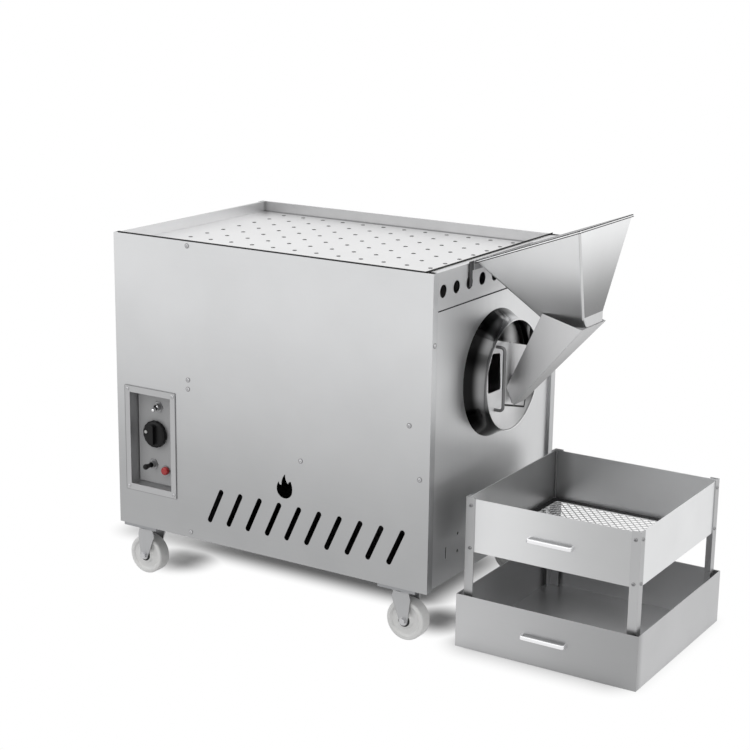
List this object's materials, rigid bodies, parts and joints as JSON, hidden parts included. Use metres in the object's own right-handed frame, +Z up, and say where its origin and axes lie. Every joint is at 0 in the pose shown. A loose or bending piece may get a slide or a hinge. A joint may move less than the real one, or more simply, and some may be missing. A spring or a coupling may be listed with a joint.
{
  "type": "nut roasting machine",
  "caption": "Gas drum nut roaster in a stainless cabinet on castors, with a turning drum, plug gate, hooked feed hopper, perforated top tray and a sieve over a catch tray.",
  "frame": {"origin": "on the floor, under the middle of the whole set", "axes": "+X from the drive end to the mouth end, +Y away from the control side, +Z up"},
  "size_m": [0.9664, 0.424, 0.6605],
  "materials": {
    "sheet_steel": "satin stainless sheet",
    "polished_steel": "polished stainless",
    "frame_steel": "grey painted angle iron",
    "drum_steel": "heat-dulled steel",
    "burner_iron": "black burner tube",
    "bearing_iron": "bare cast iron",
    "motor_paint": "dark grey paint",
    "belt_rubber": "matt black rubber",
    "roller_steel": "turned steel",
    "zinc_steel": "zinc-plated pressing",
    "white_nylon": "white nylon",
    "gas_brass": "turned brass",
    "black_plastic": "black moulding",
    "red_plastic": "red moulding",
    "switch_chrome": "plated switch metal",
    "handle_aluminium": "bright aluminium"
  },
  "bodies": {
    "cabinet": {"base_frame": "frame_steel", "corner_posts": "frame_steel", "top_frame": "frame_steel", "control_side_panel": "sheet_steel", "far_side_panel": "sheet_steel", "rear_panel": "sheet_steel", "end_plate": "sheet_steel", "vent_fascia": "sheet_steel", "mouth_collar": "polished_steel", "bulkhead": "frame_steel", "shaft_bearing": "bearing_iron", "gearmotor": "motor_paint", "motor_bracket": "frame_steel", "drive_belt": "belt_rubber", "roller_bracket": "frame_steel", "roller_pins": "roller_steel", "burner": "burner_iron", "heat_pan": "sheet_steel", "burner_rest": "frame_steel", "gas_inlet": "gas_brass", "gas_pipe": "gas_brass", "cable_gland": "black_plastic", "castor_plates": "zinc_steel", "control_box": "sheet_steel", "toggle_bodies": "switch_chrome", "speed_control": "black_plastic", "ignition_body": "switch_chrome"},
    "drum": {"drum_shell": "drum_steel", "drum_cone": "drum_steel", "drum_back": "drum_steel", "drum_flights": "drum_steel", "drum_shaft": "drum_steel", "drum_pulley": "bearing_iron"},
    "motor_pulley": {"motor_pulley": "bearing_iron"},
    "roller_left": {"roller_left": "roller_steel"},
    "roller_right": {"roller_right": "roller_steel"},
    "castor_fork_rear_left": {"castor_fork_rear_left": "zinc_steel"},
    "castor_wheel_rear_left": {"castor_wheel_rear_left": "white_nylon"},
    "castor_fork_rear_right": {"castor_fork_rear_right": "zinc_steel"},
    "castor_wheel_rear_right": {"castor_wheel_rear_right": "white_nylon"},
    "castor_fork_mouth_left": {"castor_fork_mouth_left": "zinc_steel"},
    "castor_wheel_mouth_left": {"castor_wheel_mouth_left": "white_nylon"},
    "castor_fork_mouth_right": {"castor_fork_mouth_right": "zinc_steel"},
    "castor_wheel_mouth_right": {"castor_wheel_mouth_right": "white_nylon"},
    "hopper": {"hopper_funnel": "sheet_steel", "hopper_chute": "sheet_steel", "hopper_hooks": "sheet_steel"},
    "tray": {"top_tray": "sheet_steel"},
    "gate": {"mouth_gate": "sheet_steel", "gate_handle": "polished_steel"},
    "knob": {"speed_knob": "black_plastic"},
    "power_toggle": {"power_toggle": "switch_chrome"},
    "direction_toggle": {"direction_toggle": "black_plastic"},
    "ignition_button": {"ignition_button": "red_plastic"},
    "catch": {"catch_tray": "sheet_steel", "catch_handle": "handle_aluminium"},
    "sieve": {"sieve_box": "sheet_steel", "sieve_floor": "polished_steel", "sieve_legs": "sheet_steel", "sieve_handle": "handle_aluminium"}
  },
  "joints": [
    {"name": "drum_spin", "type": "hinge", "parent": "cabinet", "child": "drum", "pos_m": [0, 0, 0.4015], "axis": [1, 0, 0], "continuous": true},
    {"name": "motor_pulley_spin", "type": "hinge", "parent": "cabinet", "child": "motor_pulley", "pos_m": [0, 0.08, 0.2035], "axis": [1, 0, 0], "continuous": true},
    {"name": "roller_left_spin", "type": "hinge", "parent": "cabinet", "child": "roller_left", "pos_m": [0.12575, -0.06441, 0.30951], "axis": [1, 0, 0], "continuous": true},
    {"name": "roller_right_spin", "type": "hinge", "parent": "cabinet", "child": "roller_right", "pos_m": [0.12575, 0.06441, 0.30951], "axis": [1, 0, 0], "continuous": true},
    {"name": "castor_rear_left_swivel", "type": "hinge", "parent": "cabinet", "child": "castor_fork_rear_left", "pos_m": [-0.41325, -0.177, 0.0845], "axis": [0, 0, 1], "continuous": true},
    {"name": "castor_rear_left_roll", "type": "hinge", "parent": "castor_fork_rear_left", "child": "castor_wheel_rear_left", "pos_m": [-0.41825, -0.177, 0.03325], "axis": [0, 1, 0], "continuous": true},
    {"name": "castor_rear_right_swivel", "type": "hinge", "parent": "cabinet", "child": "castor_fork_rear_right", "pos_m": [-0.41325, 0.177, 0.0845], "axis": [0, 0, 1], "continuous": true},
    {"name": "castor_rear_right_roll", "type": "hinge", "parent": "castor_fork_rear_right", "child": "castor_wheel_rear_right", "pos_m": [-0.41825, 0.177, 0.03325], "axis": [0, 1, 0], "continuous": true},
    {"name": "castor_mouth_left_swivel", "type": "hinge", "parent": "cabinet", "child": "castor_fork_mouth_left", "pos_m": [0.09675, -0.177, 0.0845], "axis": [0, 0, 1], "continuous": true},
    {"name": "castor_mouth_left_roll", "type": "hinge", "parent": "castor_fork_mouth_left", "child": "castor_wheel_mouth_left", "pos_m": [0.10175, -0.177, 0.03325], "axis": [0, 1, 0], "continuous": true},
    {"name": "castor_mouth_right_swivel", "type": "hinge", "parent": "cabinet", "child": "castor_fork_mouth_right", "pos_m": [0.09675, 0.177, 0.0845], "axis": [0, 0, 1], "continuous": true},
    {"name": "castor_mouth_right_roll", "type": "hinge", "parent": "castor_fork_mouth_right", "child": "castor_wheel_mouth_right", "pos_m": [0.10175, 0.177, 0.03325], "axis": [0, 1, 0], "continuous": true},
    {"name": "hopper_lift", "type": "slide", "parent": "cabinet", "child": "hopper", "axis": [0.7071, 0, 0.7071], "range_m": [0, 0.25]},
    {"name": "tray_lift", "type": "slide", "parent": "cabinet", "child": "tray", "axis": [0, 0, 1], "range_m": [0, 0.15]},
    {"name": "gate_turn", "type": "hinge", "parent": "cabinet", "child": "gate", "pos_m": [0.17895, 0, 0.4015], "axis": [1, 0, 0], "range_deg": [-20, 20]},
    {"name": "speed_knob_turn", "type": "hinge", "parent": "cabinet", "child": "knob", "pos_m": [-0.38825, -0.191, 0.2555], "axis": [0, -1, 0], "range_deg": [-135, 135]},
    {"name": "power_toggle_tilt", "type": "hinge", "parent": "cabinet", "child": "power_toggle", "pos_m": [-0.38425, -0.1898, 0.3025], "axis": [-1, 0, 0], "range_deg": [0, 24]},
    {"name": "direction_toggle_tilt", "type": "hinge", "parent": "cabinet", "child": "direction_toggle", "pos_m": [-0.39625, -0.1898, 0.2005], "axis": [1, 0, 0], "range_deg": [-13, 13]},
    {"name": "ignition_press", "type": "slide", "parent": "cabinet", "child": "ignition_button", "axis": [0, 1, 0], "range_m": [0, 0.004], "stiffness_N_per_m": 400},
    {"name": "catch_tray_slide", "type": "slide", "parent": "cabinet", "child": "catch", "axis": [0, -1, 0], "range_m": [0, 0.35]},
    {"name": "sieve_lift", "type": "slide", "parent": "catch", "child": "sieve", "axis": [0, 0, 1], "range_m": [0, 0.09]}
  ],
  "couplings": [
    {"joint": "motor_pulley_spin", "follows": "drum_spin", "ratio": 3.3246},
    {"joint": "roller_left_spin", "follows": "drum_spin", "ratio": -5.2222},
    {"joint": "roller_right_spin", "follows": "drum_spin", "ratio": -5.2222}
  ]
}
